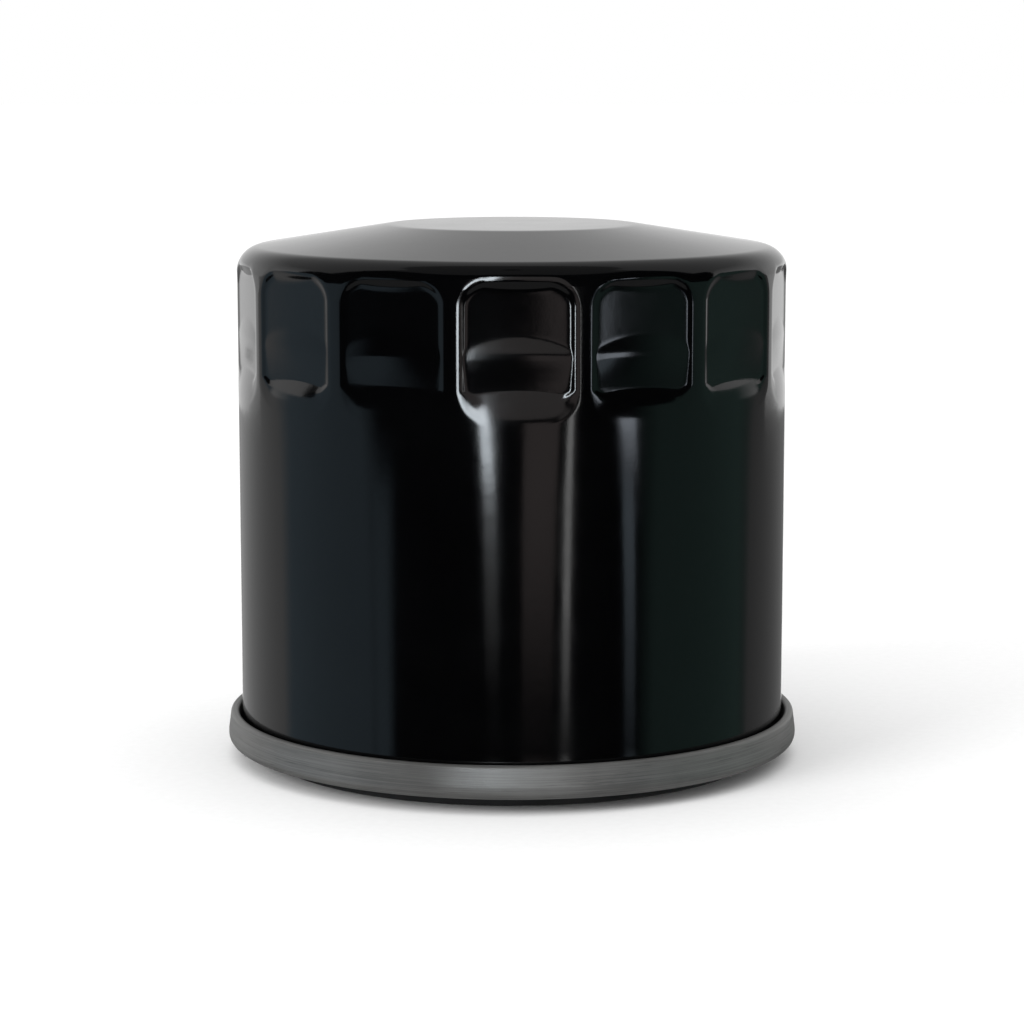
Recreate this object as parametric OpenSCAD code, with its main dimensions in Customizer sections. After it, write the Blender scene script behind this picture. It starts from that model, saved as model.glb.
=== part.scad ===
// Spin-on oil filter for a small engine, standing on its gasket.
// Millimetres. Z is the filter's axis: the gasket's lower face is at z = 0 and the dome is at the top.
// The can, lid and base plate stay fixed. The element floats on its spring, the relief valve slides
// in its cage, and the lip of the drain-back valve lifts off the base plate.

/* [Can] */
// Outside diameter of the can
can_d = 68; // [67.6:0.1:68.4]
// Height from the gasket's face to the top of the dome
total_h = 66.3; // [66:0.1:67]
// Thickness of the can's sheet
can_t = 0.5; // [0.4:0.05:0.6]
// Diameter of the flat disc on top of the dome
disc_d = 30.4; // [28:0.2:34]
// Fall of the cone around the disc, in degrees
cone_fall = 9.1; // [8:0.1:10]
// Outside radius of the shoulder between the dome and the side
shoulder_r = 3.2; // [2.8:0.1:3.6]

/* [Wrench flutes] */
// Number of flutes for a cap wrench
flute_n = 14; // [14:14]
// Turn of the flute ring about the axis, in degrees
flute_turn = 1.2; // [0:0.1:5]
// Depth of the middle of each flute below the can's surface
flute_depth = 0.85; // [0.8:0.05:1.2]
// Width of the land between two flutes
flute_land = 1; // [0.8:0.1:1.6]
// Height of a flute's flat floor
flute_h = 14.2; // [12:0.1:15]
// Height of the curved run-out below the floor
scoop_h = 3.4; // [2.5:0.1:4]

/* [Rolled seam and lid] */
// Outside diameter of the rolled seam
seam_d = 71.5; // [71.3:0.1:72]
// Height of the seam's lower face above the gasket's face
seam_z = 1.65; // [1.5:0.05:1.8]
// Height of the seam's upper lip
seam_top_z = 5.75; // [5.6:0.05:5.9]
// Thickness of the lid's sheet
lid_t = 0.4; // [0.35:0.05:0.4]

/* [Gasket] */
// Outside diameter of the gasket
gasket_od = 62.6; // [62.4:0.1:62.6]
// Inside diameter of the gasket
gasket_id = 56; // [56:0.1:56.6]
// Height of the gasket
gasket_h = 4.2; // [4:0.1:4.2]

/* [Base plate] */
// Thickness of the base plate
plate_t = 3; // [2.8:0.1:3]
// Bore of the threaded collar, which is the minor diameter of M20 x 1.5
thread_minor_d = 18.38; // [18.38:0.01:18.4]
// Major diameter of the thread
thread_major_d = 20; // [20:20]
// Outside diameter of the threaded collar
collar_d = 24.4; // [24:0.1:24.6]
// Height of the collar's mouth above the gasket's face
collar_top_z = 15.5; // [15:0.1:16]
// Number of inlet holes
inlet_n = 8; // [6:8]
// Diameter of an inlet hole
inlet_d = 6; // [5:0.1:6]
// Diameter of the circle through the inlet holes
inlet_pcd = 37; // [36:0.1:38]

/* [Element] */
// Height of the lower end cap's face above the gasket's face
cap_z = 13.2; // [13.2:0.1:13.4]
// Height of the paper between the beds of adhesive
media_h = 36.2; // [35.6:0.1:36.4]
// Outside diameter of the end caps
cap_d = 59.2; // [58:0.1:59.6]
// Outside diameter of the pleats
media_d = 56.8; // [56:0.1:57]
// Inside diameter of the pleats
media_id = 30.4; // [30:0.1:31]
// Number of pleats
pleat_n = 52; // [44:56]
// Thickness of the paper
paper_t = 0.6; // [0.5:0.05:0.7]
// Outside diameter of the perforated tube
tube_d = 27.6; // [27.4:0.1:28]
// Rows of holes in the perforated tube
tube_rows = 6; // [4:6]
// Holes around the perforated tube
tube_holes = 10; // [8:10]

/* [Relief valve] */
// Diameter of the opening that the valve closes
relief_d = 9.2; // [8.6:0.1:9.4]
// Travel of the valve disc
relief_travel = 2.5; // [2:0.1:2.5]
// Diameter of the stem
stem_d = 2.4; // [2.2:0.1:2.6]
// Radial running clearance of the stem in its guide
stem_clearance = 0.05; // [0.03:0.01:0.08]

/* [Drain-back valve] */
// Diameter of the valve's lip
diaphragm_d = 48; // [47:0.1:48.4]
// Thickness of the rubber
diaphragm_t = 1; // [0.8:0.1:1.2]

/* [Element spring] */
// Diameter of the spring wire
spring_wire = 1.6; // [1.4:0.1:1.8]
// Mean radius of the spring at the element
spring_r = 13.6; // [13.4:0.1:14]
// Turns between the spring's flat end coils
spring_turns = 2.5; // [2:0.5:3]

/* [Hidden] */
// Every node of the assembly
$fn = 96;
// Gap between pieces that touch
gap = 0.05;
// Overlap that carries a cut clear through a surface
cut = 1;

can_r = can_d / 2;
disc_r = disc_d / 2;
cone_end_z = total_h - (can_r - disc_r) * tan(cone_fall);
can_foot_z = seam_z + lid_t + gap;
can_hook_r = seam_d / 2 - lid_t - 0.35;
can_hook_z = seam_top_z - 0.9;

flute_pitch = 360 / flute_n;
flute_w = 2 * can_r * sin(flute_pitch / 2) - flute_land;
flute_top_z = total_h - 3.9;
flute_floor_z = flute_top_z - flute_h;
flute_floor_r = can_r - flute_depth;
flute_corner_r = 3;
scoop_r = (scoop_h * scoop_h + flute_depth * flute_depth) / (2 * flute_depth);

gasket_r_out = gasket_od / 2;
gasket_r_in = gasket_id / 2;
groove_z = gasket_h + gap;
lid_top_z = groove_z + lid_t;

plate_z = lid_top_z + gap;
plate_top_z = plate_z + plate_t;
plate_r = can_r - can_t - 0.4;
collar_r = collar_d / 2;
thread_r = thread_minor_d / 2;

cap_t = 0.4;
cap_rim_h = 3.6;
potting_h = 1.8;
cap_r = cap_d / 2;
tube_r = tube_d / 2;
tube_t = 0.5;
cap_rim_r = tube_r - tube_t - 0.2;
media_z = cap_z + cap_t + potting_h;
media_top_z = media_z + media_h;
upper_cap_z = media_top_z + potting_h;
upper_cap_top_z = upper_cap_z + cap_t;

housing_t = 0.5;
housing_wall_r = 9.1;
seat_z = upper_cap_top_z - 3.7;
seat_lip = 0.3;
seal_t = 0.85;
seal_r = 6.2;
disc_t = 0.6;
valve_disc_r = 6.4;
valve_disc_rim = 1;
seal_top_z = seat_z - seat_lip - gap;
disc_top_z = seal_top_z - seal_t;
cage_t = 0.45;
cage_r = housing_wall_r + gap + cage_t;
valve_wire = 0.8;
valve_spring_r = 4.6;
valve_spring_turns = 2.25;
// Height of the spring with its coils nearly closed
valve_spring_shut = 3.85;
cage_floor_z = disc_top_z - disc_t - relief_travel - valve_spring_shut - cage_t;

diaphragm_top_z = cap_z - 0.3;
diaphragm_r = diaphragm_d / 2;

// A ring with a rectangular section
module ring(r_in, r_out, z0, z1) {
    difference() {
        translate([0, 0, z0]) cylinder(r = r_out, h = z1 - z0);
        translate([0, 0, z0 - cut]) cylinder(r = r_in, h = z1 - z0 + 2 * cut);
    }
}

// A closed solid from an outline drawn as radius and height
module turned(outline) {
    rotate_extrude() polygon(outline);
}

// Points on an arc in the radius and height plane
function arc(r, z, radius, from, to, steps = 8) =
    [for (i = [0 : steps]) [
        r + radius * cos(from + (to - from) * i / steps),
        z + radius * sin(from + (to - from) * i / steps)
    ]];

// The can's outline, moved inwards by t, from the axis at the foot to the axis at the top
function can_outline(t, foot) = concat(
    [[0, foot], [can_r - t, foot]],
    arc(
        can_r - shoulder_r,
        cone_end_z + (shoulder_r * tan(cone_fall)) - shoulder_r / cos(cone_fall),
        shoulder_r - t, 0, 90 - cone_fall
    ),
    [[disc_r - t * tan(cone_fall / 2), total_h - t], [0, total_h - t]]
);

// The volume that one flute presses into the can; t is the depth below the outer surface
module flute_tool(t) {
    floor_r = flute_floor_r - t;
    half_w = flute_w / 2 + t;
    corner = flute_corner_r + t;
    top_z = flute_top_z + t;
    low_z = flute_floor_z - scoop_h - cut;
    run_out = arc(floor_r + scoop_r + t, flute_floor_z, scoop_r + t, 180, 255);
    outer_r = run_out[len(run_out) - 1][0];
    intersection() {
        rotate([90, 0, 0]) linear_extrude(2 * half_w + cut, center = true)
            polygon(concat([[outer_r, top_z + cut], [floor_r, top_z + cut]], run_out));
        rotate([90, 0, 90]) linear_extrude(can_r + flute_depth) polygon(concat(
            [[-half_w, low_z - cut], [half_w, low_z - cut]],
            arc(half_w - corner, top_z - corner, corner, 0, 90, 6),
            arc(-half_w + corner, top_z - corner, corner, 90, 180, 6)
        ));
    }
}

// The solid inside the can's surface moved inwards by t
module can_body(t, foot) {
    difference() {
        turned(can_outline(t, foot));
        for (i = [0 : flute_n - 1])
            rotate([0, 0, flute_turn - 90 + i * flute_pitch]) flute_tool(t);
    }
}

// Drawn can with a flange at its foot, hooked upwards into the seam
module canister() {
    color("#101214") {
        difference() {
            can_body(0, can_foot_z);
            can_body(can_t, can_foot_z - cut);
        }
        turned([
            [can_r - cut / 10, can_foot_z], [can_hook_r, can_foot_z], [can_hook_r, can_hook_z],
            [can_hook_r - 0.35, can_hook_z], [can_hook_r - 0.35, can_foot_z + 0.35],
            [can_r - cut / 10, can_foot_z + 0.35]
        ]);
    }
}

// Pressed ring: the gasket's groove inside, and the edge rolled up round the can's flange outside
module seaming_lid() {
    wall_r = gasket_r_out + 0.1;
    lip_r = gasket_r_in - 0.1;
    seam_r = seam_d / 2;
    top_r = seam_r - 0.35;
    lip_w = 1;
    hook_r = can_r + 0.1;
    hook_z = can_foot_z + 0.9;
    color("silver") turned(concat(
        [
            [lip_r, 2.4], [lip_r, groove_z], [wall_r, groove_z], [wall_r, seam_z + 0.3],
            [wall_r + 0.3, seam_z], [seam_r - 1.1, seam_z]
        ],
        arc(seam_r - 1.1, seam_z + 1.1, 1.1, -80, 0),
        arc(top_r - lip_w / 2, seam_top_z - lip_w / 2, lip_w / 2, 0, 180),
        [
            [hook_r, hook_z], [hook_r + lid_t, hook_z],
            [can_hook_r - 0.35 - gap, can_hook_z + gap], [can_hook_r + gap, can_hook_z + gap],
            [can_hook_r + gap, seam_z + lid_t], [wall_r + lid_t, seam_z + lid_t],
            [wall_r + lid_t, lid_top_z], [lip_r - lid_t, lid_top_z], [lip_r - lid_t, 2.4]
        ]
    ));
}

// Bead of sealing compound in the corner between the lid and the can's wall
module seam_sealant() {
    bead_r = can_r - can_t - gap;
    bead_z = seam_z + lid_t + gap;
    color("#6b3a2a") turned([
        [bead_r - 1.4, bead_z], [bead_r, bead_z], [bead_r, bead_z + 1.6], [bead_r - 0.5, bead_z + 0.6]
    ]);
}

// Rubber ring with rounded edges on its sealing face
module sealing_gasket() {
    edge = 0.4;
    color("#141414") turned(concat(
        arc(gasket_r_in + edge, edge, edge, 180, 270, 4),
        arc(gasket_r_out - edge, edge, edge, 270, 360, 4),
        [[gasket_r_out, gasket_h], [gasket_r_in, gasket_h]]
    ));
}

// Base plate with a threaded collar in the middle and a ring of inlet holes
module thread_plate() {
    chamfer = (thread_major_d - thread_minor_d) / 2 + 0.2;
    fillet = 1;
    color("darkgray") difference() {
        turned([
            [thread_r + chamfer, plate_z], [plate_r, plate_z], [plate_r, plate_top_z],
            [collar_r + fillet, plate_top_z], [collar_r, plate_top_z + fillet],
            [collar_r, collar_top_z], [thread_r + chamfer, collar_top_z],
            [thread_r, collar_top_z - chamfer], [thread_r, plate_z + chamfer]
        ]);
        for (i = [0 : inlet_n - 1])
            rotate([0, 0, i * 360 / inlet_n])
                translate([inlet_pcd / 2, 0, plate_z - cut])
                cylinder(d = inlet_d, h = plate_t + 2 * cut);
    }
}

// Rubber hat: a collar around the threaded collar, and a cone whose lip lies on the base plate
module anti_drainback_valve() {
    inner = collar_r + gap;
    outer = inner + 1.8;
    foot = plate_top_z + gap;
    shelf_z = diaphragm_top_z - 1.6;
    color("#2a2522") turned([
        [inner, shelf_z - 1.5], [inner, diaphragm_top_z], [outer + 2, diaphragm_top_z],
        [outer + 3, diaphragm_top_z - 0.6], [diaphragm_r - 1.6, foot + diaphragm_t],
        [diaphragm_r, foot + diaphragm_t * 0.7], [diaphragm_r, foot], [diaphragm_r - 1.8, foot],
        [outer + 2, shelf_z], [outer, shelf_z - 1.5]
    ]);
}

// Pressed cup with an outer rim and a rim round its central hole, both rising from z = 0
module end_cap(hole_r) {
    turned([
        [hole_r, 0], [cap_r, 0], [cap_r, cap_rim_h], [cap_r - cap_t, cap_rim_h],
        [cap_r - cap_t, cap_t], [hole_r + cap_t, cap_t],
        [hole_r + cap_t, cap_rim_h - 0.6], [hole_r, cap_rim_h - 0.6]
    ]);
}

// Bed of adhesive that fills an end cap, with a raised bank round the foot of the pleats
module potting(hole_r) {
    bank = 0.9;
    turned([
        [hole_r + cap_t + gap, 0], [cap_r - cap_t - gap, 0], [cap_r - cap_t - gap, potting_h + bank],
        [media_d / 2 + 0.15, potting_h], [hole_r + cap_t + gap, potting_h]
    ]);
}

module lower_end_cap() {
    color("gainsboro") translate([0, 0, cap_z]) end_cap(cap_rim_r - cap_t);
}

module lower_potting() {
    color("#c07a3c") translate([0, 0, cap_z + cap_t]) potting(cap_rim_r - cap_t);
}

// The upper cap lies upside down; its hole takes the relief valve's housing
module upper_end_cap() {
    color("gainsboro") translate([0, 0, upper_cap_top_z]) mirror([0, 0, 1]) end_cap(cap_rim_r - cap_t);
}

module upper_potting() {
    color("#c07a3c") translate([0, 0, upper_cap_z]) mirror([0, 0, 1]) potting(cap_rim_r - cap_t);
}

// A point at radius r and angle a
function polar(r, a) = [r * cos(a), r * sin(a)];

// Paper folded into a closed ring of pleats of even thickness
module pleated_media() {
    r_out = media_d / 2;
    r_in = media_id / 2;
    pitch = 360 / pleat_n;
    tip = asin(paper_t / r_out);
    root = asin(paper_t / r_in);
    outside = [for (i = [0 : pleat_n - 1]) for (p = [
        polar(r_out, i * pitch - tip),
        polar(r_out, i * pitch + tip),
        polar(r_in + paper_t, (i + 0.5) * pitch)
    ]) p];
    inside = [for (i = [0 : pleat_n - 1]) for (p = [
        polar(r_out - paper_t, i * pitch),
        polar(r_in, (i + 0.5) * pitch - root),
        polar(r_in, (i + 0.5) * pitch + root)
    ]) p];
    color("#d9b45a") translate([0, 0, media_z]) linear_extrude(media_h) difference() {
        polygon(outside);
        polygon(inside);
    }
}

// Folded metal strip over one pleat, where the two ends of the paper meet
module media_seam_clip() {
    clip_t = 0.3;
    half_w = 0.95;
    depth = 3;
    r_out = media_d / 2 + gap;
    color("lightgray") translate([0, 0, media_z + gap]) linear_extrude(media_h - 2 * gap) polygon([
        [r_out + clip_t, -half_w - clip_t], [r_out + clip_t, half_w + clip_t],
        [r_out - depth, half_w + clip_t], [r_out - depth, half_w],
        [r_out, half_w], [r_out, -half_w],
        [r_out - depth, -half_w], [r_out - depth, -half_w - clip_t]
    ]);
}

// Perforated tube inside the pleats
module center_tube() {
    hole_d = 3;
    row_step = media_h / tube_rows;
    color("lightsteelblue") difference() {
        ring(tube_r - tube_t, tube_r, media_z, media_top_z);
        for (row = [0 : tube_rows - 1])
            for (i = [0 : tube_holes - 1])
                rotate([0, 0, (i + (row % 2) / 2) * 360 / tube_holes])
                translate([tube_r - tube_t - cut, 0, media_z + (row + 0.5) * row_step])
                rotate([0, 90, 0])
                cylinder(d = hole_d, h = tube_t + 2 * cut);
    }
}

// Pressed seat: a flange on the upper cap, a wall through its hole and a floor with the relief opening
module bypass_valve_housing() {
    top = upper_cap_top_z + gap;
    flange_r = cap_rim_r + 1.7;
    color("silver") turned([
        [housing_wall_r - housing_t, top + housing_t], [flange_r, top + housing_t],
        [flange_r, top], [housing_wall_r, top],
        [housing_wall_r, seat_z], [relief_d / 2 + 0.45, seat_z],
        [relief_d / 2 + 0.45, seat_z - seat_lip], [relief_d / 2, seat_z - seat_lip],
        [relief_d / 2, seat_z + housing_t], [housing_wall_r - housing_t, seat_z + housing_t]
    ]);
}

// Rubber washer that meets the lip of the relief opening
module bypass_valve_seal() {
    color("#1c1c1c") ring(stem_d / 2 + gap, seal_r, disc_top_z, seal_top_z);
}

// Steel disc with a turned-down rim that locates the spring
module bypass_valve_disc() {
    color("silver") turned([
        [stem_d / 2 + gap, disc_top_z - disc_t], [stem_d / 2 + gap, disc_top_z], [valve_disc_r, disc_top_z],
        [valve_disc_r, disc_top_z - disc_t - valve_disc_rim],
        [valve_disc_r - 0.5, disc_top_z - disc_t - valve_disc_rim], [valve_disc_r - 0.5, disc_top_z - disc_t]
    ]);
}

// Rivet through the disc and seal, with a tail that slides in the cage's guide hole
module bypass_valve_stem() {
    head_r = 2.4;
    head_t = 0.6;
    tail_z = cage_floor_z - 1;
    color("darkgray") {
        translate([0, 0, tail_z]) cylinder(d = stem_d, h = seal_top_z - tail_z);
        translate([0, 0, seal_top_z]) cylinder(r = head_r, h = head_t);
    }
}

// Cage that hangs from the housing's wall, with flow windows in its side and holes in its floor
module bypass_valve_cage() {
    window_w = 8;
    window_h = 5;
    floor_hole_d = 3;
    floor_hole_r = 6.5;
    top_z = upper_cap_top_z - 0.2;
    color("lightgray") difference() {
        union() {
            ring(cage_r - cage_t, cage_r, cage_floor_z, top_z);
            ring(stem_d / 2 + stem_clearance, cage_r - cut / 10, cage_floor_z, cage_floor_z + cage_t);
        }
        for (i = [0 : 1])
            rotate([0, 0, i * 90])
                translate([0, 0, cage_floor_z + cage_t + 1.2 + window_h / 2])
                cube([2 * cage_r + 2 * cut, window_w, window_h], center = true);
        for (i = [0 : 3])
            rotate([0, 0, 45 + i * 90])
                translate([floor_hole_r, 0, cage_floor_z - cut])
                cylinder(d = floor_hole_d, h = cage_t + 2 * cut);
    }
}

// A wire swept along a path of radius, angle and height, with flat ends
module wire_along(path, wire_r, sides) {
    rings = len(path);
    points = [for (p = path) for (s = [0 : sides - 1])
        let (a = s * 360 / sides)
        [
            (p[0] + wire_r * cos(a)) * cos(p[1]),
            (p[0] + wire_r * cos(a)) * sin(p[1]),
            p[2] + wire_r * sin(a)
        ]];
    sleeves = [for (k = [0 : rings - 2]) for (s = [0 : sides - 1])
        let (n = (s + 1) % sides)
        [k * sides + s, (k + 1) * sides + s, (k + 1) * sides + n, k * sides + n]];
    start = [for (s = [0 : sides - 1]) s];
    end = [for (s = [sides - 1 : -1 : 0]) (rings - 1) * sides + s];
    polyhedron(points, concat([start], sleeves, [end]), convexity = 10);
}

// A coil spring between two heights whose end coils lie flat
module coil_spring(r_low, r_high, z_low, z_high, turns, wire_r) {
    steps_per_turn = 20;
    end_turns = 0.9;
    total = turns + 2 * end_turns;
    steps = round(total * steps_per_turn);
    low = z_low + wire_r;
    high = z_high - wire_r;
    end_rise = 2.1 * wire_r;
    function coil_z(t) =
        t < end_turns ? low + end_rise * t / end_turns :
        t > total - end_turns ? high - end_rise * (total - t) / end_turns :
        low + end_rise + (high - low - 2 * end_rise) * (t - end_turns) / turns;
    wire_along(
        [for (i = [0 : steps])
            let (t = i * total / steps)
            [r_low + (r_high - r_low) * t / total, 360 * t, coil_z(t)]],
        wire_r, 8
    );
}

// Spring under the valve disc
module bypass_valve_spring() {
    color("silver") coil_spring(
        valve_spring_r, valve_spring_r, cage_floor_z + cage_t + gap, disc_top_z - disc_t - gap,
        valve_spring_turns, valve_wire / 2
    );
}

// Spring between the element and the inside of the dome
module element_spring() {
    color("gray") coil_spring(
        spring_r, spring_r - 1.6, upper_cap_top_z + housing_t + 2 * gap, total_h - can_t - gap,
        spring_turns, spring_wire / 2
    );
}

canister();
seaming_lid();
seam_sealant();
sealing_gasket();
thread_plate();
anti_drainback_valve();
lower_end_cap();
lower_potting();
pleated_media();
media_seam_clip();
center_tube();
upper_potting();
upper_end_cap();
bypass_valve_housing();
bypass_valve_seal();
bypass_valve_disc();
bypass_valve_stem();
bypass_valve_spring();
bypass_valve_cage();
element_spring();
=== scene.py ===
"""Looks of a spin-on oil filter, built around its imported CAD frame.

Lengths are millimetres up to mesh_object, which scales each mesh to metres. Turned pieces are outlines of
(radius, height) corners, and a corner's third number is the radius that rounds it.
"""

import math

import bmesh
import bpy
import numpy as np
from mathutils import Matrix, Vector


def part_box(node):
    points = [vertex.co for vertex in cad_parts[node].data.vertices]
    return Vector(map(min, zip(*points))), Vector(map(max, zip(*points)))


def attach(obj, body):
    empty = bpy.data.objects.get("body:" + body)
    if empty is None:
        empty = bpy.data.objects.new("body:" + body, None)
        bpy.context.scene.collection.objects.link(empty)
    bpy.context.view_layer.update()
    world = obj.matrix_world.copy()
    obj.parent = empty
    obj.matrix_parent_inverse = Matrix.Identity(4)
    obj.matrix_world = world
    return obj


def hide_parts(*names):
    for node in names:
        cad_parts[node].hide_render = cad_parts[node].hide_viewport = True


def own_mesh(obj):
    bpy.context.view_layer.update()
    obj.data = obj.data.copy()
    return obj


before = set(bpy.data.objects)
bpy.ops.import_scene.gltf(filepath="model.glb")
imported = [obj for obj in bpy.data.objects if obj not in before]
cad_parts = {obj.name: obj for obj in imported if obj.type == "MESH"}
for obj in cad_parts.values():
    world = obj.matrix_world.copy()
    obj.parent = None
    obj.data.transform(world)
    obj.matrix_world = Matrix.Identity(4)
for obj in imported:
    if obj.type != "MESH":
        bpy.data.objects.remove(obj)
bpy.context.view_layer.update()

MM = 0.001


def extent(node):
    """A turned node's outer radius, lowest height and highest height, in millimetres."""
    low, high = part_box(node)
    return max(high.x, high.y) / MM, low.z / MM, high.z / MM


LID_R, LID_Z, LID_TOP = extent("seaming_lid")
HOOK_R, CAN_FOOT, CAN_TOP = extent("canister")
GASKET_R, _, GASKET_TOP = extent("sealing_gasket")
PLATE_R, PLATE_Z, COLLAR_TOP = extent("thread_plate")
CAN_R = HOOK_R - 1.0
SHEET = 0.5

# ---------------------------------------------------------------- meshes


def outline(corners, closed=True, steps=6):
    """Points round an outline of (radius, height) corners; a third number rounds the corner."""
    points = []
    for i, corner in enumerate(corners):
        here = np.array(corner[:2], float)
        bend = corner[2] if len(corner) > 2 else 0
        if not bend or (not closed and i in (0, len(corners) - 1)):
            points.append(here)
            continue
        a = np.array(corners[i - 1][:2], float) - here
        b = np.array(corners[(i + 1) % len(corners)][:2], float) - here
        a, b = a / np.linalg.norm(a), b / np.linalg.norm(b)
        half = math.acos(np.clip(a @ b, -1, 1)) / 2
        centre = here + (a + b) / np.linalg.norm(a + b) * bend / math.sin(half)
        start = here + a * bend / math.tan(half) - centre
        end = here + b * bend / math.tan(half) - centre
        turn = math.atan2(start[0] * end[1] - start[1] * end[0], start @ end)
        first = math.atan2(start[1], start[0])
        for k in range(steps + 1):
            angle = first + turn * k / steps
            points.append(centre + bend * np.array([math.cos(angle), math.sin(angle)]))
    return np.array(points)


def refined(points, spacing):
    """The same open outline with steps of about spacing(radius, height)."""
    out = [points[0]]
    for p, q in zip(points[:-1], points[1:]):
        length = np.linalg.norm(q - p)
        gone = 0.0
        while length - gone > 1.5 * spacing(*out[-1]):
            gone += spacing(*out[-1])
            out.append(p + (q - p) * gone / length)
        out.append(q)
    return np.array(out)


def mesh_object(name, vertices, faces, sharp=40):
    """A smooth-shaded mesh in metres, with edges sharper than an angle in degrees kept crisp."""
    mesh = bpy.data.meshes.new(name)
    mesh.from_pydata((np.asarray(vertices) * MM).tolist(), [], faces)
    mesh.validate()
    mesh.shade_smooth()
    mesh.set_sharp_from_angle(angle=math.radians(sharp))
    obj = bpy.data.objects.new(name, mesh)
    bpy.context.scene.collection.objects.link(obj)
    return obj


def skin(name, rows, loop=True, sharp=40):
    """A mesh through rows of points round the axis. A row of equal points closes to one point, and a row may
    have a whole number of times fewer points than the row before it."""
    index, vertices = [], []
    for row in rows:
        if np.ptp(row, axis=0).max() < 1e-6:
            index.append([len(vertices)] * len(row))
            vertices.append(row[0])
        else:
            index.append(list(range(len(vertices), len(vertices) + len(row))))
            vertices.extend(row)
    faces = []
    for k in range(len(rows) if loop else len(rows) - 1):
        low, high = index[k], index[(k + 1) % len(rows)]
        turned = len(low) < len(high)
        fine, coarse = (high, low) if turned else (low, high)
        step = len(fine) // len(coarse)
        for c in range(len(coarse)):
            run = [fine[(c * step + i) % len(fine)] for i in range(step + 1)]
            face = list(dict.fromkeys(run + [coarse[(c + 1) % len(coarse)], coarse[c]]))
            if len(face) > 2:
                faces.append(face[::-1] if turned else face)
    return mesh_object(name, vertices, faces, sharp)


def lathe(name, points, segments=192, loop=True, sharp=40):
    """A turned solid from an outline of (radius, height) points, outside drawn upwards."""
    angle = np.arange(segments) * 2 * math.pi / segments
    rows = [np.stack([r * np.cos(angle), r * np.sin(angle), z + 0 * angle], -1) for r, z in points]
    return skin(name, rows, loop, sharp)


# ---------------------------------------------------------------- the can

DISC_R = 15.2  # flat disc on top of the dome
CONE_FALL = math.radians(9.1)  # slope of the cone round the disc
SHOULDER_R = 3.2  # bend between cone and wall
CREASE_R = 9.0  # soft bend between disc and cone
FLUTES = 14
FLUTE_PITCH = 2 * math.pi / FLUTES
FLUTE_TURN = math.radians(1.2 - 90)  # the front flute's middle, from +X
FLUTE_HALF_W = CAN_R * math.sin(FLUTE_PITCH / 2) - 0.45
FLUTE_FLOOR_R = CAN_R - 0.8
FLUTE_CROWN = 0.07  # how much lower the floor is at its sides
FLUTE_TOP = CAN_TOP - 3.9
FLUTE_CORNER = 3.6
FLUTE_ARCH = 0.35  # rise of the top edge's middle
LIP_W = 0.6  # gentle slope just inside the flute's edge
LIP_SLOPE = 0.12
LIP_BEND = 0.05
WALL_SLOPE = 0.37
TOP_WALL_SLOPE = 0.6
WALL_BEND = 0.25
CORNER_HARDNESS = 7  # how crisply the wall meets the floor
SCOOP_Z = CAN_TOP - 17.2  # where the floor starts to rise to the can's surface
SCOOP_LOW = CAN_TOP - 21.4  # where it ends
SCOOP_ARCH = 0.8
SCOOP_ROUND = 2.3  # power of the scoop's rounded lower outline
SCOOP_STREAK = 2.6  # half width where the scoop's lip gets faintest
SCOOP_LIP = 1.5  # how much wider the lip is there
SCOOP_LIP_BEND = 0.4
SCOOP_WALL_BEND = 0.45
SCOOP_SOFTNESS = 4  # how much less crisp its corner is
RIDGE_Z = CAN_TOP - 13.2  # shallow pressed ridge across the floor
RIDGE_H = 2.3
RIDGE_HALF_W = 7.6
RIDGE_SLOPE = 0.095
TROUGH = 0.16  # how far the wall is drawn in below each flute
TROUGH_REACH = 13
THIN = 1e-4  # stands for zero depth


def eased_ramp(x, ease):
    """Zero below -ease, x above ease, and a smooth bend between."""
    return np.where(x > ease, x, np.where(x < -ease, 0, (x + ease) ** 2 / (4 * ease)))


def eased_min(a, b, ease):
    """The lower of a and b, with the corner between them rounded over ease."""
    overlap = np.clip(1 - np.abs(a - b) / ease, 0, None)
    return np.minimum(a, b) - overlap**2 * ease / 4


def can_profile(inset):
    """The can's outline from its foot to the middle of the dome, moved inwards by inset."""
    corner_z = CAN_TOP - (CAN_R - DISC_R) * math.tan(CONE_FALL)
    corner_z += inset * (math.tan(CONE_FALL) - 1 / math.cos(CONE_FALL))
    crease_r = DISC_R - inset * math.tan(CONE_FALL / 2)
    top = CAN_TOP - inset
    shoulder = outline(
        [(CAN_R - inset, CAN_FOOT), (CAN_R - inset, corner_z, SHOULDER_R - inset), (crease_r, top)], False, 16
    )
    crease = outline([tuple(shoulder[-2]), (crease_r, top, CREASE_R), (0, top)], False, 8)
    return np.vstack([shoulder[:-1], crease[1:]])


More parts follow.
